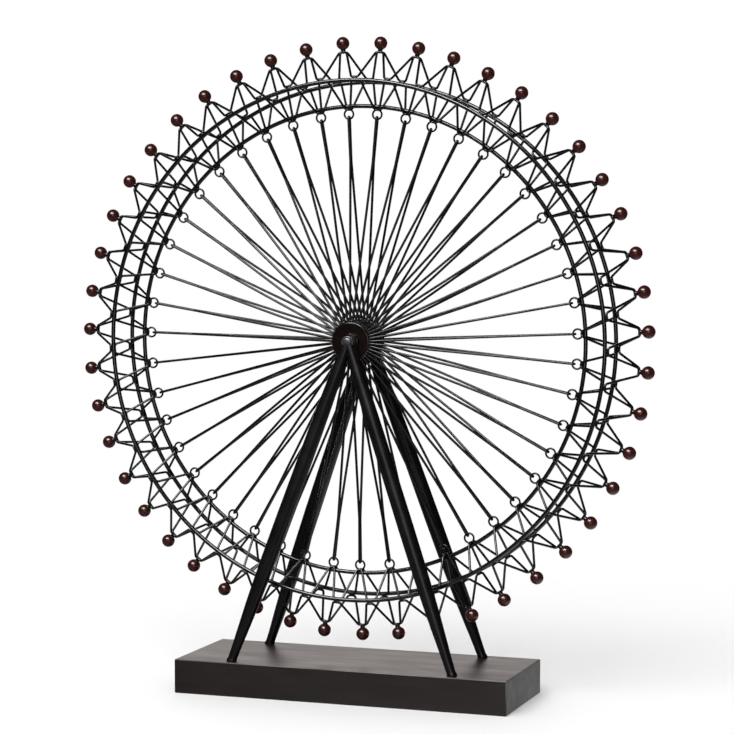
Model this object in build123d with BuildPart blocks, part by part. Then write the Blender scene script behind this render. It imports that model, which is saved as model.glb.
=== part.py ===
from build123d import *
import math
import os

os.makedirs("parts", exist_ok=True)

# A table-top big wheel: a wire-trussed wheel that turns by hand on a fixed axle,
# carried by two A-frames of tapered legs on a wooden block.
# The origin is the centre of the block's underside, X runs along the block,
# Y along the axle with the front at -Y, and Z is up. All sizes are in millimetres.

# ---- driving dimensions: stand ----
base_length = 345.0
base_depth = 125.0
base_height = 34.0
base_edge = 0.8  # eased edge of the block

foot_end_inset = 58.0  # middle of a leg's foot from the block's end
foot_side_inset = 10.5  # middle of a leg's foot from the block's long side
foot_wall = 1.95  # wall of a leg's foot round its screw
foot_length = 6.0  # plain stretch at the foot
belly_radius = 7.5  # a leg is thin at the foot, full in the middle and thin at the top
leg_top_radius = 4.9
lower_taper = 80.0  # from the foot to the top of the lower taper
upper_taper = 60.0  # length of the taper below the axle

screw_radius = 1.9
screw_head_radius = 4.4
screw_head_height = 3.0
screw_head_recess = 2.0  # middle of the head's end above the block's underside
screw_grip = 12.0  # length of the screw inside the leg

# ---- driving dimensions: axle and hub ----
axle_radius = 4.2
axle_overhang = 1.6  # axle end proud of the leg boss
boss_wall = 1.95
boss_length = 7.0
spacer_wall = 1.75
spacer_thickness = 1.2
sleeve_wall = 3.95
sleeve_overhang = 1.0  # sleeve end proud of the hub disc
hub_disc_width = 10.3  # from the sleeve to the disc's edge
hub_disc_thickness = 4.5
hub_disc_half_gap = 21.75  # middle of a hub disc from the wheel's middle plane
turned_side_count = 20  # flats round a small turned piece
leg_side_count = 16  # flats round a leg

# ---- driving dimensions: wheel ----
bay_count = 47
first_bay_angle = 86.6  # degrees from +X, the bay that stands nearest the top
wheel_clearance = 19.2  # from the block to the balls' outer circle
outer_rim_radius = 256.5
outer_rim_half_gap = 23.0  # each outer rim from the wheel's middle plane
rim_step = 24.5  # from the outer rims in to the inner rim
rim_rod = 4.0  # across the flats of a six-sided rim rod
wire_radius = 1.0  # middle of a three-sided wire to its corners
crown_height = 28.5  # from the outer rims out to the wire peaks
crown_peak_half_width = 3.0
crown_foot_half_width = 2.6  # half the stretch that lies along the rim
truss_peak_half_width = 2.2
truss_foot_half_width = 4.2
ball_size = 12.7
stem_length = 1.5
stem_end_width = 3.2
stem_side_count = 4
eye_opening = 3.4  # inside radius of an eye
eye_side_count = 8

# ---- clearances ----
weld_gap = 0.1  # between pieces that are welded or screwed together
running_gap = 0.05  # radial, round the turning sleeve
end_play = 0.3  # sleeve end to spacer
wire_gap = 0.3  # between wires that pass each other

# ---- sizes and places that follow from them ----
bay_angle = 360.0 / bay_count
between_bays = first_bay_angle + bay_angle / 2
wire_flat = wire_radius / 2  # middle of a three-sided wire to its flat
rim_half = rim_rod / 2
rim_ridge = rim_half / math.cos(math.radians(30))  # middle of a rim rod to its corners
eye_radius = eye_opening + wire_radius
inner_rim_radius = outer_rim_radius - rim_step
crown_peak_radius = outer_rim_radius + crown_height
stem_end_radius = crown_peak_radius + wire_radius + weld_gap
stem_root_radius = stem_end_radius + stem_length
ball_circle_radius = stem_root_radius + ball_size / 2
axle_height = base_height + wheel_clearance + ball_circle_radius + ball_size / 2

foot_half_spread = base_length / 2 - foot_end_inset
foot_half_depth = base_depth / 2 - foot_side_inset
foot_radius = screw_radius + running_gap + foot_wall

fixed_bore = axle_radius + weld_gap / 2
boss_radius = fixed_bore + boss_wall
spacer_radius = fixed_bore + spacer_wall
sleeve_radius = axle_radius + running_gap + sleeve_wall
hub_disc_radius = sleeve_radius + hub_disc_width
sleeve_end = hub_disc_half_gap + hub_disc_thickness / 2 + sleeve_overhang
spacer_inner = sleeve_end + end_play
boss_inner = spacer_inner + spacer_thickness + weld_gap
boss_middle = boss_inner + boss_length / 2
axle_end = boss_inner + boss_length + axle_overhang

# The wheel's own frame: local Z points to the front and local Y up.
wheel_plane = Plane(origin=(0, 0, axle_height), x_dir=(1, 0, 0), z_dir=(0, -1, 0))


def save(piece, name):
    """Label one finished sub-part and write it as a STEP file."""
    piece.part.label = name
    export_step(piece.part, f"parts/{name}.step")


def make_turned(plane, side_count, profile):
    """A piece with flats round the plane's normal: profile lists (height, corner radius)."""
    corner = Vector(1, 0, 0)
    rings = [
        [
            plane.from_local_coords(
                (corner * radius).rotate(Axis.Z, 360 / side_count * k) + Vector(0, 0, height)
            )
            for k in range(side_count)
        ]
        for height, radius in profile
    ]
    sides = [
        Face(Wire.make_polygon([low[k - 1], low[k], high[k], high[k - 1]]))
        for low, high in zip(rings, rings[1:])
        for k in range(side_count)
    ]
    ends = [Face(Wire.make_polygon(rings[0])), Face(Wire.make_polygon(rings[-1]))]
    return Solid(Shell(sides + ends))


# ---- the stand ----
def leg_plane(right, rear):
    """A plane at a leg's foot with its normal up along the leg, towards the leg boss."""
    foot = Vector(right * foot_half_spread, rear * foot_half_depth, base_height)
    top = Vector(0, rear * boss_middle, axle_height)
    return Plane(origin=foot, x_dir=(0, 1, 0), z_dir=top - foot)


def make_leg(right, rear):
    """A tapered leg, cut flat on the block, coped to the boss and mitred to its twin."""
    foot = leg_plane(right, rear)
    length = foot.to_local_coords(Vector(0, rear * boss_middle, axle_height)).Z
    profile = [
        (-foot_radius, foot_radius),
        (foot_length, foot_radius),
        (lower_taper, belly_radius),
        (length - upper_taper, belly_radius),
        (length, leg_top_radius),
    ]
    with BuildPart() as leg:
        add(make_turned(foot, leg_side_count, profile))
        split(bisect_by=Plane.XY.offset(base_height), keep=Keep.TOP)
        inner_side = Keep.TOP if right > 0 else Keep.BOTTOM
        split(bisect_by=Plane.YZ.offset(right * weld_gap / 2), keep=inner_side)
        with BuildSketch(wheel_plane):
            RegularPolygon(boss_radius + weld_gap, turned_side_count, major_radius=False)
        extrude(amount=2 * axle_end, both=True, mode=Mode.SUBTRACT)
        with BuildSketch(foot):
            RegularPolygon(screw_radius + running_gap, 6)
        extrude(amount=screw_grip + weld_gap, both=True, mode=Mode.SUBTRACT)
    return leg


corners = {
    "front_left": (-1, -1),
    "front_right": (1, -1),
    "rear_left": (-1, 1),
    "rear_right": (1, 1),
}

for corner, (right, rear) in corners.items():
    leg = make_leg(right, rear)
    save(leg, f"{corner}_leg")

# The screws follow the legs' lean. Their heads lie in pockets in the block's underside,
# and seat_depth is measured down along a screw from the block's top.
screw_seat_height = screw_head_recess + screw_head_height
seat_depth = (base_height - screw_seat_height) / leg_plane(1, 1).z_dir.Z

with BuildPart() as base_block:
    with Locations((0, 0, base_height / 2)):
        Box(base_length, base_depth, base_height)
    chamfer(base_block.edges(), length=base_edge)
    for right, rear in corners.values():
        with BuildSketch(leg_plane(right, rear)):
            RegularPolygon(screw_radius + weld_gap, 6)
        extrude(amount=2 * base_height, both=True, mode=Mode.SUBTRACT)
        with BuildSketch(leg_plane(right, rear).offset(-seat_depth)):
            RegularPolygon(screw_head_radius + weld_gap, 6)
        extrude(amount=-base_height, mode=Mode.SUBTRACT)
save(base_block, "base_block")

head_depth = seat_depth + weld_gap
with BuildPart() as leg_screws:
    for right, rear in corners.values():
        with BuildSketch(leg_plane(right, rear).offset(-head_depth)):
            RegularPolygon(screw_radius, 6)
        extrude(amount=head_depth + screw_grip)
        with BuildSketch(leg_plane(right, rear).offset(-head_depth)):
            RegularPolygon(screw_head_radius, 6)
        extrude(amount=-screw_head_height)
save(leg_screws, "leg_screws")

with BuildPart() as axle:
    with BuildSketch(wheel_plane):
        Circle(axle_radius)
    extrude(amount=axle_end, both=True)
save(axle, "axle")


def make_ring(outer, bore, near, far):
    """A ring with flats on the axle, between two distances in front of the wheel's middle."""
    with BuildPart() as ring:
        with BuildSketch(wheel_plane.offset(near)):
            RegularPolygon(outer, turned_side_count, major_radius=False)
            RegularPolygon(bore, turned_side_count, major_radius=False, mode=Mode.SUBTRACT)
        extrude(amount=far - near)
    return ring


for end, front in (("front", 1), ("rear", -1)):
    boss = make_ring(boss_radius, fixed_bore, front * boss_inner, front * (boss_inner + boss_length))
    save(boss, f"{end}_leg_boss")
    spacer_outer = spacer_inner + spacer_thickness
    spacer = make_ring(spacer_radius, fixed_bore, front * spacer_inner, front * spacer_outer)
    save(spacer, f"{end}_spacer")

# ---- the hub: a sleeve that turns on the axle, and two discs that hold the spokes ----
with BuildPart() as hub_sleeve:
    with BuildSketch(wheel_plane):
        RegularPolygon(sleeve_radius, turned_side_count, major_radius=False)
        Circle(axle_radius + running_gap, mode=Mode.SUBTRACT)
    extrude(amount=sleeve_end, both=True)
save(hub_sleeve, "hub_sleeve")

disc_inner = hub_disc_half_gap - hub_disc_thickness / 2
for end, front in (("front", 1), ("rear", -1)):
    with BuildPart() as hub_disc:
        with BuildSketch(wheel_plane.offset(front * disc_inner)):
            # one flat faces each spoke, so the corners lie between the bays
            RegularPolygon(hub_disc_radius, bay_count, major_radius=False, rotation=between_bays)
            bore = sleeve_radius + weld_gap / 2
            RegularPolygon(bore, turned_side_count, major_radius=False, mode=Mode.SUBTRACT)
        extrude(amount=front * hub_disc_thickness)
    save(hub_disc, f"{end}_hub_disc")


# ---- one bay of the wheel, drawn with local X out along its middle and local Z to the front ----
def in_bay(radius, angle, front, along=0.0):
    """A point at a radius and an angle from the bay's middle, moved along the rim."""
    turn = math.radians(angle)
    return Vector(
        radius * math.cos(turn) - along * math.sin(turn),
        radius * math.sin(turn) + along * math.cos(turn),
        front,
    )


def make_hoop_bay(radius, front):
    """One bay of a hoop of rod, with a flat side facing in and a flat side facing out."""
    half = bay_angle / 2
    start = in_bay(radius, -half, front)
    corner = in_bay(radius / math.cos(math.radians(half)), 0, front)
    with BuildPart() as bay:
        with BuildLine():
            Polyline(start, corner, in_bay(radius, half, front))
        with BuildSketch(Plane(origin=start, x_dir=in_bay(1, -half, 0), z_dir=corner - start)):
            RegularPolygon(rim_half, 6, major_radius=False, rotation=30)
        sweep(transition=Transition.RIGHT)
    return bay


def make_zigzag_bay(foot, foot_half_width, peak, peak_half_width, off_rim):
    """One zigzag of bent wire: it lies on a rim at both ends and rises to a blunt peak.

    foot and peak are (radius, distance to the front); off_rim is the direction, given
    the same way, in which the foot lies off its rim.
    """
    half = bay_angle / 2
    bends = [
        in_bay(foot[0], -half, foot[1]),
        in_bay(foot[0], -half, foot[1], foot_half_width),
        in_bay(peak[0], 0, peak[1], -peak_half_width),
        in_bay(peak[0], 0, peak[1], peak_half_width),
        in_bay(foot[0], half, foot[1], -foot_half_width),
        in_bay(foot[0], half, foot[1]),
    ]
    away_from_rim = in_bay(off_rim[0], -half, off_rim[1])
    with BuildPart() as bay:
        with BuildLine():
            Polyline(*bends)
        with BuildSketch(Plane(origin=bends[0], x_dir=away_from_rim, z_dir=bends[1] - bends[0])):
            RegularPolygon(wire_radius, 3)
        sweep(transition=Transition.RIGHT)
    return bay


def ring_of_bays(piece, first_angle=first_bay_angle):
    """Copies of one bay's piece, all round the wheel."""
    with BuildPart(wheel_plane) as ring:
        with PolarLocations(0, bay_count, start_angle=first_angle):
            add(piece.part)
    return ring


# ---- the rims: hoops of rod with one straight side for each bay ----
# The sides of the outer rims lie under the feet of the wires, those of the inner rim
# over the eyes.
save(ring_of_bays(make_hoop_bay(outer_rim_radius, outer_rim_half_gap)), "front_rim")
save(ring_of_bays(make_hoop_bay(outer_rim_radius, -outer_rim_half_gap)), "rear_rim")
save(ring_of_bays(make_hoop_bay(inner_rim_radius, 0), between_bays), "inner_rim")

# ---- the crown wires on the outside of the outer rims, and the truss wires between them ----
crown_foot_radius = outer_rim_radius + rim_half + weld_gap + wire_flat
crown_peak_front = wire_radius + wire_gap / 2
truss_foot_front = outer_rim_half_gap - rim_ridge - weld_gap - wire_flat
truss_peak_radius = inner_rim_radius - rim_half - wire_gap - wire_radius
truss_peak_front = 2 * wire_radius

for end, front in (("front", 1), ("rear", -1)):
    crown_bay = make_zigzag_bay(
        (crown_foot_radius, front * outer_rim_half_gap),
        crown_foot_half_width,
        (crown_peak_radius, front * crown_peak_front),
        crown_peak_half_width,
        off_rim=(1, 0),
    )
    save(ring_of_bays(crown_bay), f"{end}_crown_wire")
    truss_bay = make_zigzag_bay(
        (outer_rim_radius, front * truss_foot_front),
        truss_foot_half_width,
        (truss_peak_radius, front * truss_peak_front),
        truss_peak_half_width,
        off_rim=(0, -front),
    )
    save(ring_of_bays(truss_bay), f"{end}_truss_wire")

# An eye is a ring of wire that hangs from the inner rim, with its axis along the axle.
eye_circle_radius = inner_rim_radius - rim_half - weld_gap - wire_flat - eye_radius
eye_turn = 360.0 / eye_side_count
eye_corner = eye_radius / math.cos(math.radians(eye_turn / 2))

with BuildPart() as eye:
    with BuildLine():
        half_eye = [
            Vector(eye_circle_radius, 0) + Vector(eye_corner, 0).rotate(Axis.Z, eye_turn * (k + 0.5))
            for k in range(eye_side_count // 2)
        ]
        eye_top = Vector(eye_circle_radius + eye_radius, 0)
        eye_bottom = Vector(eye_circle_radius - eye_radius, 0)
        Polyline(eye_top, *half_eye, eye_bottom)
    with BuildSketch(Plane(origin=eye_top, x_dir=(-1, 0, 0), z_dir=(0, 1, 0))):
        RegularPolygon(wire_radius, 3)
    sweep(transition=Transition.RIGHT)
    mirror(about=Plane.XZ)
save(ring_of_bays(eye), "eye_rings")

# A spoke is one hairpin of wire: up from the front hub disc, through the eye, and
# back down to the rear hub disc.
hook_radius = eye_circle_radius - eye_radius + 2 * wire_radius + weld_gap
hook_front = 2 * wire_radius + weld_gap
spoke_start = in_bay(hub_disc_radius + weld_gap + wire_flat, 0, hub_disc_half_gap)
spoke_hook = in_bay(hook_radius, 0, hook_front)

with BuildPart() as spoke:
    with BuildLine():
        Polyline(
            spoke_start,
            spoke_hook,
            Vector(spoke_hook.X, 0, -spoke_hook.Z),
            Vector(spoke_start.X, 0, -spoke_start.Z),
        )
    with BuildSketch(Plane(origin=spoke_start, x_dir=(0, 1, 0), z_dir=spoke_hook - spoke_start)):
        RegularPolygon(wire_radius, 3, rotation=90)
    sweep(transition=Transition.RIGHT)
save(ring_of_bays(spoke), "spokes")

# A ball is cut with 26 flats and carries the short stem that joins it to the wire peaks.
flat_width = ball_size * math.tan(math.radians(22.5))
stem_plane = Plane(origin=(stem_end_radius, 0, 0), x_dir=(0, 1, 1), z_dir=(1, 0, 0))
to_corner = 0.5 / math.cos(math.pi / stem_side_count)  # from a width to its corner radius
stem_profile = [(0, stem_end_width * to_corner), (stem_length, flat_width * to_corner)]

with BuildPart() as ball:
    with Locations((ball_circle_radius, 0, 0)):
        Box(ball_size, ball_size, ball_size)
    chamfer(ball.edges(), length=(ball_size - flat_width) / 2)
    add(make_turned(stem_plane, stem_side_count, stem_profile))
save(ring_of_bays(ball), "balls")
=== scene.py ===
import math

import bmesh
import bpy
from mathutils import Matrix, Quaternion, Vector


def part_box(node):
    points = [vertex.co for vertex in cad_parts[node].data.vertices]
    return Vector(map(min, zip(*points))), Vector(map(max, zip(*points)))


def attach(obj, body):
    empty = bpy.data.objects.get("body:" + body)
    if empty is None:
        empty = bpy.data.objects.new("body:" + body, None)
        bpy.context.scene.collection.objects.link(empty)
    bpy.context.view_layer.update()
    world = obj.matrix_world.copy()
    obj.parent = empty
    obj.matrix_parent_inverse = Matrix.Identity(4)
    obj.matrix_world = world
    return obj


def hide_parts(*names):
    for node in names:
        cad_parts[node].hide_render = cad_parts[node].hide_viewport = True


# A table-top big wheel of bent and welded wire on two A-frames of tapered legs.
# Everything is in metres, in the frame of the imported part: X along the block,
# the front at -Y, Z up. The wheel turns about the axle, which lies along Y.

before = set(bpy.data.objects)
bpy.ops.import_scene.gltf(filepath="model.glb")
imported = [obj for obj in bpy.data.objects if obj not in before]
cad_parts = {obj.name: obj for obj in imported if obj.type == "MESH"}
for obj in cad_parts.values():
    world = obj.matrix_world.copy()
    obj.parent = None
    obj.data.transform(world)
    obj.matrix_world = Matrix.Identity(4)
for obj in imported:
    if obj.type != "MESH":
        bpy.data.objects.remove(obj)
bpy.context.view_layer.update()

MM = 0.001


def middle(node):
    """The middle of a node's box."""
    low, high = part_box(node)
    return (low + high) / 2


# ---- sizes of the wheel, in metres ----
AXLE_HEIGHT = middle("axle").z
BAYS = 47
FIRST_BAY = math.radians(86.6)  # from +X towards +Z: the bay nearest the top
OUTER_RIM = 256.5 * MM
RIM_FRONT = 23.0 * MM  # each outer rim from the wheel's middle plane
INNER_RIM = 232.0 * MM
ROD = 2.1 * MM  # radius of a rim rod
WIRE = 1.22 * MM  # radius of the bent wires
SPOKE_WIRE = 1.25 * MM
WELD_SINK = 0.1 * MM  # how far welded wires sink into each other

CROWN_PEAK = 285.0 * MM
CROWN_PEAK_HALF_WIDTH = 3.7 * MM
CROWN_FOOT_HALF_WIDTH = 3.4 * MM
TRUSS_PEAK = 228.8 * MM
TRUSS_PEAK_HALF_WIDTH = 2.4 * MM
TRUSS_FOOT_HALF_WIDTH = 4.6 * MM
TRUSS_PEAK_FRONT = 2.3 * MM
BEND = 3.0 * MM  # radius of a bend in a truss or crown wire, along its middle
BEND_STEPS = 5
WIRE_SIDES = 10
ROD_SIDES = 16

BALL_CIRCLE = 293.95 * MM
BALL = 6.55 * MM  # radius
EYE = 4.7 * MM  # middle of the eye's wire to the middle of the eye
EYE_WIRE = 1.0 * MM
HUB_DISC = 19.8 * MM
HUB_DISC_FRONT = middle("rear_hub_disc").y  # from the wheel's middle plane
HUB_DISC_THICKNESS = 4.5 * MM

# Bays bent by hand don't divide the circle exactly. Besides a small chance error, they
# drift: by the first angle times the sine of the bay's angle, and by the second angle
# twice round the wheel, most at the third.
UNEVEN_ANGLE = math.radians(0.25)
UNEVEN_RADIUS = 0.5 * MM
CROWN_DRIFT = [math.radians(a) for a in (-0.8, 0.38, 30)]
TRUSS_DRIFT = [math.radians(a) for a in (-0.94, 0.65, 32.5)]
CROWN_SEED = 11
TRUSS_SEED = 23


# ---- small tools ----
def linear(hex_colour):
    """An sRGB hex colour as linear RGBA."""
    channels = [int(hex_colour[i:i + 2], 16) / 255 for i in (1, 3, 5)]
    return [c / 12.92 if c <= 0.04045 else ((c + 0.055) / 1.055) ** 2.4 for c in channels] + [1.0]


def add_node(tree, kind, settings=None, links=None):
    """Add a node. links gives its inputs by name or number, as values or other nodes' outputs."""
    node = tree.nodes.new(kind)
    for name, value in (settings or {}).items():
        setattr(node, name, value)
    for key, value in (links or {}).items():
        if isinstance(value, bpy.types.Node):
            value = value.outputs[0]
        if isinstance(value, bpy.types.NodeSocket):
            tree.links.new(value, node.inputs[key])
        else:
            node.inputs[key].default_value = value
    return node


def new_object(name, mesh):
    piece = bpy.data.objects.new(name, mesh)
    bpy.context.scene.collection.objects.link(piece)
    return piece


def polyline(name, points, closed=False):
    """An object with a line of edges through the points."""
    last = len(points) if closed else len(points) - 1
    mesh = bpy.data.meshes.new(name)
    mesh.from_pydata(points, [(i, (i + 1) % len(points)) for i in range(last)], [])
    return new_object(name, mesh)


def lathe(name, profile, place, sides=48, ring=False):
    """A turned piece: profile lists (height, radius), and place moves it from the Z axis.

    A ring's profile is a closed outline clear of the axis.
    """
    work = bmesh.new()
    loops = []
    for height, radius in profile:
        if radius == 0:
            loops.append([work.verts.new((0, 0, height))])
            continue
        turns = [math.tau * k / sides for k in range(sides)]
        loops.append([
            work.verts.new((radius * math.cos(t), radius * math.sin(t), height)) for t in turns
        ])
    pairs = list(zip(loops, loops[1:]))
    if ring:
        pairs.append((loops[-1], loops[0]))
    for low, high in pairs:
        for k in range(sides):
            below = [low[k % len(low)], low[(k + 1) % len(low)]]
            above = [high[(k + 1) % len(high)], high[k % len(high)]]
            work.faces.new(list(dict.fromkeys(below + above)))
    bmesh.ops.recalc_face_normals(work, faces=work.faces)
    mesh = bpy.data.meshes.new(name)
    work.to_mesh(mesh)
    work.free()
    mesh.transform(place)
    mesh.shade_smooth()
    mesh.set_sharp_from_angle(angle=math.radians(40))
    return new_object(name, mesh)


def along(axis, origin=(0, 0, 0)):
    """A matrix that takes the Z axis to an axis through the origin given."""
    return Matrix.Translation(origin) @ Vector(axis).to_track_quat("Z", "Y").to_matrix().to_4x4()


def rounded(corners, radius, steps=4):
    """A closed outline with each corner turned into a small arc."""
    outline = []
    for i, corner in enumerate(corners):
        here = Vector(corner)
        before = Vector(corners[i - 1]) - here
        after = Vector(corners[(i + 1) % len(corners)]) - here
        cut = min(radius, before.length / 2.2, after.length / 2.2)
        start, end = here + before.normalized() * cut, here + after.normalized() * cut
        for k in range(steps + 1):
            t = k / steps
            outline.append(tuple(start * (1 - t) ** 2 + here * 2 * t * (1 - t) + end * t ** 2))
    return outline


def use_tree(piece, tree, values):
    """Put a node tree on a piece, with its inputs set by their identifiers."""
    modifier = piece.modifiers.new(tree.name, "NODES")
    modifier.node_group = tree
    sockets = tree.interface.items_tree
    identifiers = {item.name: item.identifier for item in sockets if item.in_out == "INPUT"}
    for name, value in values.items():
        modifier[identifiers[name]] = value


def settle(piece):
    """Turn a piece and its modifiers into one plain mesh."""
    graph = bpy.context.evaluated_depsgraph_get()
    mesh = bpy.data.meshes.new_from_object(piece.evaluated_get(graph))
    piece.modifiers.clear()
    piece.data = mesh
    mesh.name = piece.name
    return piece


def put_on(piece, body, slot, *nodes, material=None):
    """Ride on a body, stand for CAD nodes and take a finish."""
    if material:
        piece.data.materials.clear()
        piece.data.materials.append(material)
    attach(piece, body)
    if nodes:
        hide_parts(*nodes)
    return piece


# ---- materials ----
def new_material(name):
    """An empty material with its output, its shader and the piece's own coordinates."""
    material = bpy.data.materials.new(name)
    material.use_nodes = True
    tree = material.node_tree
    tree.nodes.clear()
    shader = add_node(tree, "ShaderNodeBsdfPrincipled")
    add_node(tree, "ShaderNodeOutputMaterial", links={"Surface": shader})
    place = add_node(tree, "ShaderNodeTexCoord").outputs["Object"]
    return material, tree, shader, place


def painted_steel(name, dark, light, roughness, grit, bump, shine=0.5, coat=0.0, coat_roughness=0.2):
    """Sprayed paint on steel: an even colour with a fine orange peel and faint cloudiness.

    grit is the width of the orange peel's bumps and bump their height, both in metres.
    shine is how strongly the paint itself reflects, below any clear coat.
    """
    material, tree, shader, place = new_material(name)
    cloud = add_node(
        tree, "ShaderNodeTexNoise", links={"Vector": place, "Scale": 1 / (25 * MM), "Detail": 4.0}
    )
    peel = add_node(tree, "ShaderNodeTexNoise", links={"Vector": place, "Scale": 1 / grit, "Detail": 2.0})
    colour = add_node(
        tree, "ShaderNodeMix", {"data_type": "RGBA"},
        {0: cloud.outputs["Fac"], 6: linear(dark), 7: linear(light)},
    )
    gloss = add_node(
        tree, "ShaderNodeMapRange",
        links={"Value": cloud.outputs["Fac"], 1: 0.3, 2: 0.7, 3: roughness * 0.85, 4: roughness * 1.2},
    )
    relief = add_node(
        tree, "ShaderNodeBump", links={"Strength": 0.6, "Distance": bump, "Height": peel.outputs["Fac"]}
    )
    tree.links.new(colour.outputs[2], shader.inputs["Base Color"])
    tree.links.new(gloss.outputs[0], shader.inputs["Roughness"])
    tree.links.new(relief.outputs[0], shader.inputs["Normal"])
    shader.inputs["Specular IOR Level"].default_value = shine
    shader.inputs["Coat Weight"].default_value = coat
    shader.inputs["Coat Roughness"].default_value = coat_roughness
    return material


def stained_wood(name, half, pin_hole):
    """A planed softwood block, stained nearly black and given a satin varnish.

    The grain runs along X. half is half the block's length, half its depth and its
    height. The stain is rubbed pale in places along the upper and upright edges, and this
    pale colour also serves as a painted highlight along them. Short pores darken it, and
    one pin hole on the top is a dark spot painted in, as painted shade in the hole.
    """
    material, tree, shader, place = new_material(name)
    # growth rings are about 2 mm apart and run the length of the block
    stretched = add_node(
        tree, "ShaderNodeMapping",
        links={"Vector": place, "Scale": (1 / (120 * MM), 1 / (2 * MM), 1 / (2 * MM))},
    )
    grain = add_node(
        tree, "ShaderNodeTexNoise",
        links={"Vector": stretched, "Scale": 1.0, "Detail": 6.0, "Roughness": 0.7},
    )
    # pores are half a millimetre wide and about 9 mm long
    pores = add_node(
        tree, "ShaderNodeMapping",
        links={"Vector": place, "Scale": (1 / (9 * MM), 1 / (0.5 * MM), 1 / (0.5 * MM))},
    )
    dashes = add_node(tree, "ShaderNodeTexNoise", links={"Vector": pores, "Scale": 1.0, "Detail": 1.0})
    # rubbed varnish varies over a few centimetres, in strokes along the grain
    strokes = add_node(
        tree, "ShaderNodeMapping",
        links={"Vector": place, "Scale": (1 / (60 * MM), 1 / (14 * MM), 1 / (14 * MM))},
    )
    rubbed = add_node(tree, "ShaderNodeTexNoise", links={"Vector": strokes, "Scale": 1.0, "Detail": 4.0})
    streak = add_node(tree, "ShaderNodeValToRGB", links={"Fac": grain.outputs["Fac"]})
    streak.color_ramp.elements[0].position = 0.3
    streak.color_ramp.elements[0].color = linear("#0a0808")
    streak.color_ramp.elements[1].position = 0.72
    streak.color_ramp.elements[1].color = linear("#151111")
    pore_mask = add_node(
        tree, "ShaderNodeMapRange", links={"Value": dashes.outputs["Fac"], 1: 0.28, 2: 0.42, 3: 0.6, 4: 1.0}
    )
    dotted = add_node(
        tree, "ShaderNodeMix", {"data_type": "RGBA", "blend_type": "MULTIPLY"},
        {0: 1.0, 6: streak.outputs[0], 7: pore_mask.outputs[0]},
    )

    # the second nearest of the block's end, side and top faces is near only along an edge
    apart = add_node(tree, "ShaderNodeSeparateXYZ", links={0: place})
    inside = []
    for axis in range(3):
        off = add_node(tree, "ShaderNodeMath", {"operation": "ABSOLUTE"}, {0: apart.outputs[axis]})
        inside.append(add_node(tree, "ShaderNodeMath", {"operation": "SUBTRACT"}, {0: half[axis], 1: off}))
    nearer = add_node(tree, "ShaderNodeMath", {"operation": "MINIMUM"}, {0: inside[0], 1: inside[1]})
    farther = add_node(tree, "ShaderNodeMath", {"operation": "MAXIMUM"}, {0: inside[0], 1: inside[1]})
    or_top = add_node(tree, "ShaderNodeMath", {"operation": "MINIMUM"}, {0: farther, 1: inside[2]})
    second = add_node(tree, "ShaderNodeMath", {"operation": "MAXIMUM"}, {0: nearer, 1: or_top})
    edge = add_node(
        tree, "ShaderNodeMapRange", links={"Value": second, 1: 0.4 * MM, 2: 0.9 * MM, 3: 1.0, 4: 0.0}
    )
    # the pale edge, partly worn stain and partly painted highlight, shows over stretches of a few centimetres
    stretch = add_node(
        tree, "ShaderNodeTexNoise",
        links={"Vector": place, "Scale": 1 / (55 * MM), "Detail": 2.0, "Roughness": 0.5},
    )
    patch = add_node(
        tree, "ShaderNodeMapRange",
        links={"Value": stretch.outputs["Fac"], 1: 0.45, 2: 0.65, 3: 0.08, 4: 0.65},
    )
    rub_and_highlight = add_node(tree, "ShaderNodeMath", {"operation": "MULTIPLY"}, {0: edge, 1: patch})
    # pale edges: the stain worn through, with a painted highlight where an edge catches the light
    worn_and_highlit = add_node(
        tree, "ShaderNodeMix", {"data_type": "RGBA"}, {0: rub_and_highlight, 6: dotted.outputs[2], 7: linear("#8a8581")}
    )
    # the pin hole is not cut: a dark dull spot is painted in its place, as painted shade in the hole
    from_hole = add_node(tree, "ShaderNodeVectorMath", {"operation": "DISTANCE"}, {0: place, 1: pin_hole})
    hole_shade = add_node(
        tree, "ShaderNodeMapRange",
        links={"Value": from_hole.outputs["Value"], 1: 0.5 * MM, 2: 0.8 * MM, 3: 1.0, 4: 0.0},
    )
    hole_shaded = add_node(
        tree, "ShaderNodeMix", {"data_type": "RGBA"}, {0: hole_shade, 6: worn_and_highlit.outputs[2], 7: linear("#050404")}
    )
    gloss = add_node(
        tree, "ShaderNodeMapRange", links={"Value": rubbed.outputs["Fac"], 1: 0.3, 2: 0.7, 3: 0.4, 4: 0.48}
    )
    dull = add_node(tree, "ShaderNodeMath", {"operation": "MAXIMUM"}, {0: gloss, 1: hole_shade})
    relief = add_node(
        tree, "ShaderNodeBump", links={"Strength": 0.4, "Distance": 0.05 * MM, "Height": grain.outputs["Fac"]}
    )
    pitted = add_node(tree, "ShaderNodeBump", links={
        "Strength": 0.4, "Distance": 0.04 * MM, "Height": pore_mask.outputs[0], "Normal": relief.outputs[0],
    })
    tree.links.new(hole_shaded.outputs[2], shader.inputs["Base Color"])
    tree.links.new(dull.outputs[0], shader.inputs["Roughness"])
    tree.links.new(pitted.outputs[0], shader.inputs["Normal"])
    # the varnish has yellowed a little, which warms its sheen
    shader.inputs["Specular Tint"].default_value = linear("#f7ebe6")
    shader.inputs["Specular IOR Level"].default_value = 0.3
    return material


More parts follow.
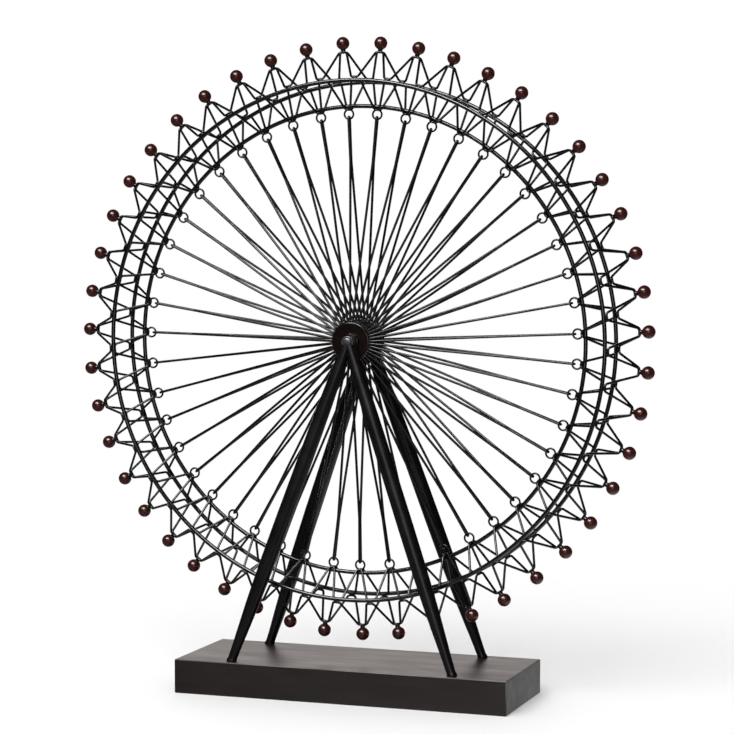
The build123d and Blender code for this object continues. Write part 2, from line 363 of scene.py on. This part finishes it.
def zinc_plate(name):
    """Bright zinc on a screw: pale grey metal, faintly blotched."""
    material, tree, shader, place = new_material(name)
    blotch = add_node(
        tree, "ShaderNodeTexNoise", links={"Vector": place, "Scale": 1 / (1.2 * MM), "Detail": 3.0}
    )
    colour = add_node(
        tree, "ShaderNodeMix", {"data_type": "RGBA"},
        {0: blotch.outputs["Fac"], 6: linear("#a9aaa8"), 7: linear("#d2d3cf")},
    )
    gloss = add_node(
        tree, "ShaderNodeMapRange",
        links={"Value": blotch.outputs["Fac"], 1: 0.3, 2: 0.7, 3: 0.25, 4: 0.4},
    )
    tree.links.new(colour.outputs[2], shader.inputs["Base Color"])
    tree.links.new(gloss.outputs[0], shader.inputs["Roughness"])
    shader.inputs["Metallic"].default_value = 1.0
    return material


# Satin black powder coat on the legs: near black, with soft grey highlights and a fine peel.
leg_paint = painted_steel("black_powder_coat", "#040202", "#090606", 0.27, 0.7 * MM, 0.02 * MM, shine=0.3)
# The same black sprayed thinner on the wires and rims: sharper highlights.
wire_paint = painted_steel("black_wire_enamel", "#020202", "#060505", 0.17, 0.5 * MM, 0.008 * MM)
# The rims' enamel is thicker and smoother, so a bright line runs along them.
rim_paint = painted_steel("black_rim_enamel", "#020202", "#060505", 0.14, 0.7 * MM, 0.005 * MM, shine=0.9)
# The turned axle and its bosses are a dark grey, lighter than the legs.
axle_paint = painted_steel("dark_grey_axle_paint", "#201e20", "#2c292c", 0.3, 0.7 * MM, 0.008 * MM)
# Brown-black bronze lacquer on the hub.
hub_paint = painted_steel("dark_bronze_lacquer", "#080403", "#140a08", 0.15, 0.8 * MM, 0.012 * MM)
# Deep red-brown gloss lacquer on the balls, with a clear coat that gives the small white highlight.
ball_lacquer = painted_steel(
    "red_brown_gloss_lacquer", "#260705", "#380f0a", 0.3, 1.2 * MM, 0.002 * MM, shine=0.0, coat=1.0,
    coat_roughness=0.2,
)
block_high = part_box("base_block")[1]
PIN_HOLE = (-77.2 * MM, 10.9 * MM, block_high.z)
block_wood = stained_wood("dark_stained_wood", block_high, PIN_HOLE)
screw_zinc = zinc_plate("zinc_plated_steel")


# ---- node trees for the wire work ----
def new_tree(name, inputs):
    """A geometry tree with a geometry input and output and the named inputs given."""
    tree = bpy.data.node_groups.new(name, "GeometryNodeTree")
    tree.interface.new_socket("Geometry", in_out="INPUT", socket_type="NodeSocketGeometry")
    tree.interface.new_socket("Geometry", in_out="OUTPUT", socket_type="NodeSocketGeometry")
    for label, kind in inputs.items():
        tree.interface.new_socket(label, in_out="INPUT", socket_type="NodeSocket" + kind)
    return tree, add_node(tree, "NodeGroupInput").outputs


UNEVEN_INPUTS = {
    "Bays": "Int", "First Bay": "Float", "Axle Height": "Float", "Uneven Angle": "Float",
    "Uneven Radius": "Float", "Drift Once": "Float", "Drift Twice": "Float", "Drift Twice Peak": "Float",
    "Seed": "Int",
}


def place_seat(tree, given, seat):
    """The angle of a seat round the wheel, and how far its radius is off.

    Peaks have even seat numbers and feet odd ones, so that pieces which meet at a
    seat and share a seed are off by the same.
    """
    off_angle = add_node(
        tree, "FunctionNodeRandomValue", {"data_type": "FLOAT"},
        {2: -1.0, 3: 1.0, "ID": seat, "Seed": given["Seed"]},
    )
    chance = add_node(
        tree, "ShaderNodeMath", {"operation": "MULTIPLY"}, {0: off_angle.outputs[1], 1: given["Uneven Angle"]}
    )
    half_bay = add_node(tree, "ShaderNodeMath", {"operation": "DIVIDE"}, {0: math.pi, 1: given["Bays"]})
    even = add_node(
        tree, "ShaderNodeMath", {"operation": "MULTIPLY_ADD"}, {0: seat, 1: half_bay, 2: given["First Bay"]}
    )
    sine = add_node(tree, "ShaderNodeMath", {"operation": "SINE"}, {0: even})
    twice = add_node(tree, "ShaderNodeMath", {"operation": "MULTIPLY"}, {0: even, 1: 2.0})
    from_peak = add_node(
        tree, "ShaderNodeMath", {"operation": "SUBTRACT"}, {0: twice, 1: given["Drift Twice Peak"]}
    )
    cosine = add_node(tree, "ShaderNodeMath", {"operation": "COSINE"}, {0: from_peak})
    once_off = add_node(
        tree, "ShaderNodeMath", {"operation": "MULTIPLY_ADD"}, {0: sine, 1: given["Drift Once"], 2: even}
    )
    both_off = add_node(
        tree, "ShaderNodeMath", {"operation": "MULTIPLY_ADD"}, {0: cosine, 1: given["Drift Twice"], 2: once_off}
    )
    angle = add_node(tree, "ShaderNodeMath", {"operation": "ADD"}, {0: both_off, 1: chance})
    other_seed = add_node(tree, "FunctionNodeIntegerMath", {"operation": "ADD"}, {0: given["Seed"], 1: 1})
    off_radius = add_node(
        tree, "FunctionNodeRandomValue", {"data_type": "FLOAT"},
        {2: -1.0, 3: 1.0, "ID": seat, "Seed": other_seed},
    )
    radius = add_node(
        tree, "ShaderNodeMath", {"operation": "MULTIPLY"}, {0: off_radius.outputs[1], 1: given["Uneven Radius"]}
    )
    return angle, radius


def make_zigzag_tree():
    """The bends of one endless zigzag wire: foot end, peak start, peak end, foot start, and so on."""
    tree, given = new_tree("zigzag_bends", UNEVEN_INPUTS | {
        "Foot Radius": "Float", "Foot Front": "Float", "Foot Half Width": "Float",
        "Peak Radius": "Float", "Peak Front": "Float", "Peak Half Width": "Float",
    })
    index = add_node(tree, "GeometryNodeInputIndex")
    bay = add_node(tree, "FunctionNodeIntegerMath", {"operation": "DIVIDE_FLOOR"}, {0: index, 1: 4})
    bend = add_node(tree, "FunctionNodeIntegerMath", {"operation": "MODULO"}, {0: index, 1: 4})

    def by_bend(kind, values):
        """A value for each of a bay's four bends."""
        switch = add_node(tree, "GeometryNodeIndexSwitch", {"data_type": kind})
        while len(switch.index_switch_items) < 4:
            switch.index_switch_items.new()
        tree.links.new(bend.outputs[0], switch.inputs[0])
        for k, value in enumerate(values):
            if isinstance(value, bpy.types.NodeSocket):
                tree.links.new(value, switch.inputs[k + 1])
            else:
                switch.inputs[k + 1].default_value = value
        return switch

    step = by_bend("INT", [-1, 0, 0, 1])
    seat = add_node(tree, "FunctionNodeIntegerMath", {"operation": "MULTIPLY_ADD"}, {0: bay, 1: 2, 2: step})
    seats = add_node(tree, "FunctionNodeIntegerMath", {"operation": "MULTIPLY"}, {0: given["Bays"], 1: 2})
    own_seat = add_node(tree, "FunctionNodeIntegerMath", {"operation": "FLOORED_MODULO"}, {0: seat, 1: seats})
    angle, off_radius = place_seat(tree, given, own_seat)
    turn = add_node(tree, "ShaderNodeMath", {"operation": "MULTIPLY"}, {0: angle, 1: -1.0})

    foot_side, peak_side = given["Foot Half Width"], given["Peak Half Width"]
    minus_foot = add_node(tree, "ShaderNodeMath", {"operation": "MULTIPLY"}, {0: foot_side, 1: -1.0})
    minus_peak = add_node(tree, "ShaderNodeMath", {"operation": "MULTIPLY"}, {0: peak_side, 1: -1.0})
    sideways = by_bend("FLOAT", [foot_side, minus_peak.outputs[0], peak_side, minus_foot.outputs[0]])
    peak = add_node(tree, "ShaderNodeMath", {"operation": "ADD"}, {0: given["Peak Radius"], 1: off_radius})
    out = by_bend("FLOAT", [given["Foot Radius"], peak.outputs[0], peak.outputs[0], given["Foot Radius"]])
    foot_front, peak_front = given["Foot Front"], given["Peak Front"]
    front = by_bend("FLOAT", [foot_front, peak_front, peak_front, foot_front])
    local = add_node(tree, "ShaderNodeCombineXYZ", links={0: out, 1: front, 2: sideways})
    turned = add_node(
        tree, "ShaderNodeVectorRotate", {"rotation_type": "Y_AXIS"}, {"Vector": local, "Angle": turn}
    )
    hub = add_node(tree, "ShaderNodeCombineXYZ", links={2: given["Axle Height"]})

    count = add_node(tree, "FunctionNodeIntegerMath", {"operation": "MULTIPLY"}, {0: given["Bays"], 1: 4})
    line = add_node(tree, "GeometryNodeMeshLine", links={"Count": count})
    placed = add_node(
        tree, "GeometryNodeSetPosition", links={"Geometry": line, "Position": turned, "Offset": hub}
    )
    curve = add_node(tree, "GeometryNodeMeshToCurve", links={"Mesh": placed})
    closed = add_node(tree, "GeometryNodeSetSplineCyclic", links={"Geometry": curve, "Cyclic": True})
    add_node(tree, "NodeGroupOutput", links={0: closed})
    return tree


def make_bent_rod_tree():
    """Round rod or wire along a line: its corners become bends, and its section is a circle."""
    tree, given = new_tree("bent_rod", {
        "Bend Radius": "Float", "Bend Steps": "Int", "Rod Radius": "Float", "Rod Sides": "Int",
        "Material": "Material",
    })
    line = add_node(tree, "GeometryNodeMeshToCurve", links={"Mesh": given["Geometry"]})
    both = add_node(tree, "GeometryNodeJoinGeometry")
    tree.links.new(line.outputs[0], both.inputs[0])
    tree.links.new(given["Geometry"], both.inputs[0])
    bent = add_node(
        tree, "GeometryNodeFilletCurve", {"mode": "POLY"},
        {"Curve": both, "Count": given["Bend Steps"], "Radius": given["Bend Radius"], "Limit Radius": True},
    )
    section = add_node(
        tree, "GeometryNodeCurvePrimitiveCircle",
        links={"Resolution": given["Rod Sides"], "Radius": given["Rod Radius"]},
    )
    rod = add_node(
        tree, "GeometryNodeCurveToMesh",
        links={"Curve": bent, "Profile Curve": section.outputs[0], "Fill Caps": True},
    )
    smooth = add_node(tree, "GeometryNodeSetShadeSmooth", links={"Geometry": rod})
    plain = add_node(tree, "GeometryNodeRealizeInstances", links={"Geometry": smooth})
    finished = add_node(
        tree, "GeometryNodeSetMaterial", links={"Geometry": plain, "Material": given["Material"]}
    )
    add_node(tree, "NodeGroupOutput", links={0: finished})
    return tree


def make_wheel_copies_tree():
    """A copy of the piece at each bay. The piece is drawn with X out from the axle along its bay."""
    own_inputs = {"First Seat": "Int", "Material": "Material"}
    tree, given = new_tree("copies_round_the_wheel", UNEVEN_INPUTS | own_inputs)
    index = add_node(tree, "GeometryNodeInputIndex")
    seat = add_node(
        tree, "FunctionNodeIntegerMath", {"operation": "MULTIPLY_ADD"}, {0: index, 1: 2, 2: given["First Seat"]}
    )
    angle, off_radius = place_seat(tree, given, seat)
    turn = add_node(tree, "ShaderNodeMath", {"operation": "MULTIPLY"}, {0: angle, 1: -1.0})
    outward = add_node(tree, "ShaderNodeCombineXYZ", links={0: off_radius})
    turned = add_node(
        tree, "ShaderNodeVectorRotate", {"rotation_type": "Y_AXIS"}, {"Vector": outward, "Angle": turn}
    )
    hub = add_node(tree, "ShaderNodeCombineXYZ", links={2: given["Axle Height"]})
    place = add_node(tree, "ShaderNodeVectorMath", {"operation": "ADD"}, {0: turned, 1: hub})
    points = add_node(tree, "GeometryNodePoints", links={"Count": given["Bays"], "Position": place})
    rotation = add_node(tree, "ShaderNodeCombineXYZ", links={1: turn})
    copies = add_node(
        tree, "GeometryNodeInstanceOnPoints",
        links={"Points": points, "Instance": given["Geometry"], "Rotation": rotation},
    )
    plain = add_node(tree, "GeometryNodeRealizeInstances", links={"Geometry": copies})
    finished = add_node(
        tree, "GeometryNodeSetMaterial", links={"Geometry": plain, "Material": given["Material"]}
    )
    add_node(tree, "NodeGroupOutput", links={0: finished})
    return tree


zigzag_tree = make_zigzag_tree()
bent_rod_tree = make_bent_rod_tree()
wheel_copies_tree = make_wheel_copies_tree()
round_wheel = {
    "Bays": BAYS, "First Bay": FIRST_BAY, "Axle Height": AXLE_HEIGHT, "Uneven Angle": UNEVEN_ANGLE,
}


def drifting(drift, radius, seed):
    """The unevenness that pieces share where they meet."""
    once, twice, peak = drift
    return round_wheel | {
        "Drift Once": once, "Drift Twice": twice, "Drift Twice Peak": peak,
        "Uneven Radius": radius, "Seed": seed,
    }


with_crown = drifting(CROWN_DRIFT, UNEVEN_RADIUS, CROWN_SEED)
with_truss = drifting(TRUSS_DRIFT, 0.0, TRUSS_SEED)


# ---- the wheel's wires ----
CROWN_FOOT = OUTER_RIM + ROD + WIRE - WELD_SINK  # crown wires lie on the outside of the outer rims
TRUSS_FOOT_FRONT = RIM_FRONT - ROD - WIRE + WELD_SINK  # truss wires on their inner sides


def make_zigzag(name, node, places, foot, foot_half_width, peak, peak_half_width):
    """One endless zigzag wire. foot and peak are (radius, y)."""
    wire = new_object(name, bpy.data.meshes.new(name))
    use_tree(wire, zigzag_tree, places | {
        "Foot Radius": foot[0], "Foot Front": foot[1], "Foot Half Width": foot_half_width,
        "Peak Radius": peak[0], "Peak Front": peak[1], "Peak Half Width": peak_half_width,
    })
    use_tree(wire, bent_rod_tree, {
        "Bend Radius": BEND, "Bend Steps": BEND_STEPS, "Rod Radius": WIRE, "Rod Sides": WIRE_SIDES,
        "Material": wire_paint,
    })
    put_on(settle(wire), "wheel", "black_wire_paint", node)


for end, front in (("front", -1), ("rear", 1)):
    make_zigzag(
        f"{end}_crown_wire_bent", f"{end}_crown_wire", with_crown,
        (CROWN_FOOT, front * RIM_FRONT), CROWN_FOOT_HALF_WIDTH,
        (CROWN_PEAK, front * WIRE), CROWN_PEAK_HALF_WIDTH,
    )
    make_zigzag(
        f"{end}_truss_wire_bent", f"{end}_truss_wire", with_truss,
        (OUTER_RIM, front * TRUSS_FOOT_FRONT), TRUSS_FOOT_HALF_WIDTH,
        (TRUSS_PEAK, front * TRUSS_PEAK_FRONT), TRUSS_PEAK_HALF_WIDTH,
    )


def make_hoop(name, node, radius, y):
    """A rim: one hoop of round rod."""
    steps = 8 * BAYS
    turns = [math.tau * k / steps for k in range(steps)]
    points = [(radius * math.cos(t), y, AXLE_HEIGHT + radius * math.sin(t)) for t in turns]
    hoop = polyline(name, points, closed=True)
    use_tree(hoop, bent_rod_tree, {
        "Bend Radius": 0.0, "Bend Steps": 1, "Rod Radius": ROD, "Rod Sides": ROD_SIDES, "Material": rim_paint,
    })
    put_on(settle(hoop), "wheel", "black_wire_paint", node)


make_hoop("front_rim_rod", "front_rim", OUTER_RIM, -RIM_FRONT)
make_hoop("rear_rim_rod", "rear_rim", OUTER_RIM, RIM_FRONT)
make_hoop("inner_rim_rod", "inner_rim", INNER_RIM, 0.0)

# ---- eyes and spokes ----
EYE_CIRCLE = INNER_RIM - ROD - EYE_WIRE + WELD_SINK - EYE
eye_steps = 28
eye_turns = [math.tau * k / eye_steps for k in range(eye_steps)]
eye_points = [(EYE_CIRCLE + EYE * math.cos(t), 0, EYE * math.sin(t)) for t in eye_turns]
eyes = polyline("eye_rings_round", eye_points, closed=True)
use_tree(eyes, bent_rod_tree, {
    "Bend Radius": 0.0, "Bend Steps": 1, "Rod Radius": EYE_WIRE, "Rod Sides": WIRE_SIDES,
    "Material": wire_paint,
})
use_tree(eyes, wheel_copies_tree, with_truss | {"Material": wire_paint})
put_on(settle(eyes), "wheel", "black_wire_paint", "eye_rings")

HOOK = EYE_CIRCLE - EYE + EYE_WIRE + SPOKE_WIRE
HOOK_FRONT = EYE_WIRE + SPOKE_WIRE
SPOKE_SINK = 0.6 * MM  # end of a spoke inside the hub disc
SPOKE_SPLIT = HOOK - 44.0 * MM  # a spoke's two strands run side by side from the eye to here
SPLIT_FRONT = SPOKE_WIRE + 0.25 * MM  # the strands are this far from the wheel's middle plane there
hairpin = [
    (HUB_DISC - SPOKE_SINK, -HUB_DISC_FRONT, 0),
    (SPOKE_SPLIT, -SPLIT_FRONT, 0),
    (HOOK, -HOOK_FRONT, 0),
    (HOOK, HOOK_FRONT, 0),
    (SPOKE_SPLIT, SPLIT_FRONT, 0),
    (HUB_DISC - SPOKE_SINK, HUB_DISC_FRONT, 0),
]
spokes = polyline("spokes_hooked", hairpin)
use_tree(spokes, bent_rod_tree, {
    "Bend Radius": EYE_WIRE + SPOKE_WIRE, "Bend Steps": 6, "Rod Radius": SPOKE_WIRE,
    "Rod Sides": WIRE_SIDES, "Material": wire_paint,
})
use_tree(spokes, wheel_copies_tree, with_truss | {"Material": wire_paint})
put_on(settle(spokes), "wheel", "black_wire_paint", "spokes")


# ---- beads of weld ----
def make_beads(name, sizes, places, first_seat, spots):
    """Drawn-out lumps of weld at each bay. sizes are half sizes out, along the axle and round the wheel."""
    work = bmesh.new()
    for spot in spots:
        shape = Matrix.Translation(spot) @ Matrix.Diagonal((*sizes, 1.0))
        bmesh.ops.create_icosphere(work, subdivisions=2, radius=1.0, matrix=shape)
    mesh = bpy.data.meshes.new(name)
    work.to_mesh(mesh)
    work.free()
    mesh.shade_smooth()
    beads = new_object(name, mesh)
    use_tree(beads, wheel_copies_tree, places | {"First Seat": first_seat, "Material": wire_paint})
    put_on(settle(beads), "wheel", "black_wire_paint")


both_ways = (-1, 1)
make_beads(
    "spoke_end_welds", (1.5 * MM, 1.5 * MM, 1.25 * MM), with_truss, 0,
    [(HUB_DISC + 0.6 * MM, way * HUB_DISC_FRONT, 0) for way in both_ways],
)
make_beads(
    "crown_foot_welds", (1.2 * MM, 1.4 * MM, 3.2 * MM), with_crown, 1,
    [(CROWN_FOOT - WIRE, way * RIM_FRONT, 0) for way in both_ways],
)
make_beads(
    "truss_foot_welds", (1.5 * MM, 1.1 * MM, 3.4 * MM), with_truss, 1,
    [(OUTER_RIM, way * (TRUSS_FOOT_FRONT + WIRE), 0) for way in both_ways],
)
make_beads("eye_welds", (1.3 * MM, 1.9 * MM, 2.1 * MM), with_truss, 0, [(INNER_RIM - ROD - 0.5 * MM, 0, 0)])

# ---- the balls ----
ball_steps = 20
ball_arc = [math.pi * k / ball_steps for k in range(1, ball_steps)]
ball_profile = [(BALL_CIRCLE - BALL * math.cos(t), BALL * math.sin(t)) for t in ball_arc]
ball_profile = [(BALL_CIRCLE - BALL, 0.0)] + ball_profile + [(BALL_CIRCLE + BALL, 0.0)]
balls = lathe("balls_round", ball_profile, along((1, 0, 0)), sides=32)
use_tree(balls, wheel_copies_tree, with_crown | {"Material": ball_lacquer})
put_on(settle(balls), "wheel", "red_brown_lacquer", "balls")

# each ball sits on a short black nub, which is welded over the two crown wires
neck_profile = [
    (CROWN_PEAK - 0.9 * MM, 0.0), (CROWN_PEAK - 0.9 * MM, 1.9 * MM), (CROWN_PEAK, 2.4 * MM),
    (CROWN_PEAK + 1.0 * MM, 2.4 * MM), (CROWN_PEAK + 2.0 * MM, 2.3 * MM), (CROWN_PEAK + 3.0 * MM, 2.7 * MM),
    (CROWN_PEAK + 3.6 * MM, 0.0),
]
necks = lathe("ball_necks", neck_profile, along((1, 0, 0)), sides=16)
use_tree(necks, wheel_copies_tree, with_crown | {"Material": wire_paint})
put_on(settle(necks), "wheel", "black_wire_paint")

# ---- the hub and what holds it ----
AXLE = 4.2 * MM
TO_FRONT = along((0, -1, 0), (0, 0, AXLE_HEIGHT))
TO_REAR = along((0, 1, 0), (0, 0, AXLE_HEIGHT))
SLEEVE = 8.2 * MM
SLEEVE_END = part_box("hub_sleeve")[1].y
SPACER = 6.0 * MM
BOSS = 6.2 * MM
BORE = AXLE + 0.05 * MM
sleeve_outline = [(-SLEEVE_END, BORE), (-SLEEVE_END, SLEEVE), (SLEEVE_END, SLEEVE), (SLEEVE_END, BORE)]
sleeve = lathe("hub_sleeve_turned", rounded(sleeve_outline, 0.7 * MM), TO_FRONT, ring=True)
put_on(sleeve, "wheel", "dark_bronze_paint", "hub_sleeve", material=hub_paint)

for end, place in (("front", TO_FRONT), ("rear", TO_REAR)):
    low, high = HUB_DISC_FRONT - HUB_DISC_THICKNESS / 2, HUB_DISC_FRONT + HUB_DISC_THICKNESS / 2
    disc = lathe(
        f"{end}_hub_disc_turned",
        rounded([(low, SLEEVE), (low, HUB_DISC), (high, HUB_DISC), (high, SLEEVE)], 2.0 * MM, steps=8),
        place, sides=94, ring=True,
    )
    put_on(disc, "wheel", "dark_bronze_paint", f"{end}_hub_disc", material=hub_paint)
    near, far = sorted(abs(y) for y in (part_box(f"{end}_spacer")[0].y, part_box(f"{end}_spacer")[1].y))
    spacer = lathe(
        f"{end}_spacer_turned",
        rounded([(near, AXLE), (near, SPACER), (far, SPACER), (far, AXLE)], 0.3 * MM),
        place, ring=True,
    )
    put_on(spacer, "stand", "black_satin_paint", f"{end}_spacer", material=leg_paint)
    near, far = sorted(abs(y) for y in (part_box(f"{end}_leg_boss")[0].y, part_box(f"{end}_leg_boss")[1].y))
    boss = lathe(
        f"{end}_leg_boss_turned",
        rounded([(near, AXLE), (near, BOSS), (far, BOSS), (far, AXLE)], 2.2 * MM, steps=8),
        place, ring=True,
    )
    put_on(boss, "stand", "black_satin_paint", f"{end}_leg_boss", material=axle_paint)

axle_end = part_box("axle")[1].y
axle = lathe(
    "axle_turned",
    [(-axle_end, 0.0), (-axle_end, AXLE - 0.7 * MM), (-axle_end + 0.5 * MM, AXLE),
     (axle_end - 0.5 * MM, AXLE), (axle_end, AXLE - 0.7 * MM), (axle_end, 0.0)],
    TO_FRONT,
)
put_on(axle, "stand", "black_satin_paint", "axle", material=axle_paint)

# ---- the legs ----
BLOCK_TOP = block_high.z
FOOT_SPREAD = 115.0 * MM
FOOT_DEPTH = 52.0 * MM
BOSS_MIDDLE = middle("rear_leg_boss").y
# Height along the leg and radius, in mm: a small flare at the foot, then a long swell.
LEG_SWELL = [
    (-8, 4.9), (0.6, 5.1), (1.8, 4.8), (3, 4.55), (12, 4.7), (22, 5.1), (38, 5.8), (58, 6.6), (80, 7.2),
    (110, 7.6), (150, 7.75), (200, 7.6), (245, 7.4), (275, 7.0), (300, 6.4), (320, 5.8), (332, 5.3),
]
LEG_TOP = 4.9 * MM  # radius where the leg ends in the boss


def make_leg(end, side, rear, right):
    """A tapered leg: its foot is cut flat on the block, and its top ends inside the boss."""
    foot = Vector((right * FOOT_SPREAD, rear * FOOT_DEPTH, BLOCK_TOP))
    top = Vector((0, rear * BOSS_MIDDLE, AXLE_HEIGHT))
    axis = (top - foot).normalized()
    length = (top - foot).length
    inside_boss = 1.5 * MM
    profile = [(h * MM, r * MM) for h, r in LEG_SWELL if h * MM < length - 2 * inside_boss]
    profile.append((length - inside_boss, LEG_TOP))
    profile = [(profile[0][0], 0.0)] + profile + [(profile[-1][0], 0.0)]
    leg = lathe(f"{end}_{side}_leg_turned", profile, along(axis, foot), sides=40)
    for vertex in leg.data.vertices:
        if vertex.co.z < BLOCK_TOP:
            vertex.co += axis * ((BLOCK_TOP - vertex.co.z) / axis.z)
    put_on(leg, "stand", "black_satin_paint", f"{end}_{side}_leg", material=leg_paint)


for end, rear in (("front", -1), ("rear", 1)):
    for side, right in (("left", -1), ("right", 1)):
        make_leg(end, side, rear, right)

# ---- CAD nodes that stay ----
for node, material in {"base_block": block_wood, "leg_screws": screw_zinc}.items():
    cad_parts[node].data.materials.clear()
    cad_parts[node].data.materials.append(material)


# ---- floor, light and camera ----
def make_floor():
    """A round pale floor that keeps the object's shadow and fades into the white background.

    In reflections the floor shows only a painted glow: a pool of light round the object, brighter behind it at
    the right.
    """
    reach = 6.0
    behind_right = (0.26, 0.15, 0.0)
    mesh = bpy.data.meshes.new("floor")
    rim = [(reach * math.cos(math.tau * k / 96), reach * math.sin(math.tau * k / 96), 0) for k in range(96)]
    mesh.from_pydata(rim, [], [list(range(96))])
    floor = new_object("floor", mesh)
    material, tree, shader, place = new_material("pale_floor")
    shader.inputs["Base Color"].default_value = linear("#f2f2f2")
    shader.inputs["Roughness"].default_value = 0.9
    shader.inputs["Specular IOR Level"].default_value = 0.1
    flat = add_node(tree, "ShaderNodeVectorMath", {"operation": "LENGTH"}, {0: place})
    fade = add_node(
        tree, "ShaderNodeMapRange", {"interpolation_type": "SMOOTHSTEP"},
        {"Value": flat.outputs["Value"], 1: 0.25, 2: 0.95, 3: 0.0, 4: 1.0},
    )
    rays = add_node(tree, "ShaderNodeLightPath")
    white = add_node(tree, "ShaderNodeEmission", links={"Color": (1, 1, 1, 1), "Strength": 1.0})
    share = add_node(
        tree, "ShaderNodeMath", {"operation": "MULTIPLY"}, {0: fade, 1: rays.outputs["Is Camera Ray"]}
    )
    mixed = add_node(tree, "ShaderNodeMixShader", links={0: share, 1: shader, 2: white})
    # reflections see painted light: the floor glows as a pool round the object and a brighter one behind it at
    # the right
    pool = add_node(
        tree, "ShaderNodeMapRange", {"interpolation_type": "SMOOTHSTEP"},
        {"Value": flat.outputs["Value"], 1: 0.8, 2: 2.0, 3: 0.2, 4: 0.03},
    )
    from_rear = add_node(tree, "ShaderNodeVectorMath", {"operation": "DISTANCE"}, {0: place, 1: behind_right})
    rear_pool = add_node(
        tree, "ShaderNodeMapRange", {"interpolation_type": "SMOOTHSTEP"},
        {"Value": from_rear.outputs["Value"], 1: 0.1, 2: 0.5, 3: 0.8, 4: 0.0},
    )
    painted_pool_glow = add_node(tree, "ShaderNodeMath", {"operation": "ADD"}, {0: pool, 1: rear_pool})
    dim = add_node(tree, "ShaderNodeEmission", links={"Color": (1, 1, 1, 1), "Strength": painted_pool_glow})
    reflected = add_node(
        tree, "ShaderNodeMixShader", links={0: rays.outputs["Is Glossy Ray"], 1: mixed, 2: dim}
    )
    output = next(n for n in tree.nodes if n.type == "OUTPUT_MATERIAL")
    tree.links.new(reflected.outputs[0], output.inputs["Surface"])
    mesh.materials.append(material)


def make_world():
    """A white background to the camera, dim in reflections, and soft light from all round."""
    world = bpy.data.worlds.new("white_studio")
    bpy.context.scene.world = world
    world.use_nodes = True
    tree = world.node_tree
    tree.nodes.clear()
    rays = add_node(tree, "ShaderNodeLightPath")
    light = add_node(tree, "ShaderNodeBackground", links={"Color": (1, 1, 1, 1), "Strength": 0.7})
    dim = add_node(tree, "ShaderNodeBackground", links={"Color": (1, 1, 1, 1), "Strength": 0.03})
    white = add_node(tree, "ShaderNodeBackground", links={"Color": (1, 1, 1, 1), "Strength": 1.0})
    room = add_node(tree, "ShaderNodeMixShader", links={0: rays.outputs["Is Glossy Ray"], 1: light, 2: dim})
    mixed = add_node(tree, "ShaderNodeMixShader", links={0: rays.outputs["Is Camera Ray"], 1: room, 2: white})
    add_node(tree, "ShaderNodeOutputWorld", links={"Surface": mixed})


def around(azimuth, elevation):
    """The direction from the object to a place round it; azimuth 0 is the front, 90 the right."""
    a, e = math.radians(azimuth), math.radians(elevation)
    return Vector((math.sin(a) * math.cos(e), -math.cos(a) * math.cos(e), math.sin(e)))


def make_softbox(name, azimuth, elevation, distance, size, power, colour=(1, 1, 1)):
    """A softbox, width by height, aimed at the middle of the object."""
    light = bpy.data.lights.new(name, "AREA")
    light.shape = "RECTANGLE"
    light.size, light.size_y = size
    light.energy = power
    light.color = colour
    box = new_object(name, light)
    toward = around(azimuth, elevation)
    box.location = Vector((0, 0, AXLE_HEIGHT)) + toward * distance
    box.rotation_mode = "QUATERNION"
    box.rotation_quaternion = (-toward).to_track_quat("-Z", "Y")
    box.visible_camera = False
    return box


def make_camera():
    """The photograph's viewpoint: a long lens, a little to the right and above the middle."""
    azimuth, elevation, roll = 19.15, 3.65, 0.13
    distance = 2.4197
    aim = Vector((0.00926, 0.0, 0.3275))
    camera = bpy.data.cameras.new("camera")
    camera.lens = 119.5
    camera.sensor_width = 36.0
    placed = new_object("camera", camera)
    toward = around(azimuth, elevation)
    placed.location = aim + toward * distance
    placed.rotation_mode = "QUATERNION"
    level = (-toward).to_track_quat("-Z", "Y")
    placed.rotation_quaternion = level @ Quaternion((0, 0, 1), math.radians(roll))
    bpy.context.scene.camera = placed


make_floor()
make_world()
make_softbox("key_softbox", -8, 46, 4.0, (2.95, 1.7), 112)
# a bright strip in the key's direction that shows in reflections alone gives the thin highlights
make_softbox("key_strip", -8, 46, 4.0, (2.95, 0.95), 800).visible_diffuse = False
# a weak one from near the camera gives the legs their broad dull band
make_softbox("front_softbox", 16, 3, 3.0, (1.3, 1.5), 11)
# and one from behind shows on the block's top, and warms it
make_softbox("rear_left_softbox", 205, 10, 2.6, (1.6, 1.6), 15.5, (1.0, 0.93, 0.9))
make_camera()
bpy.context.scene.view_settings.view_transform = "Standard"
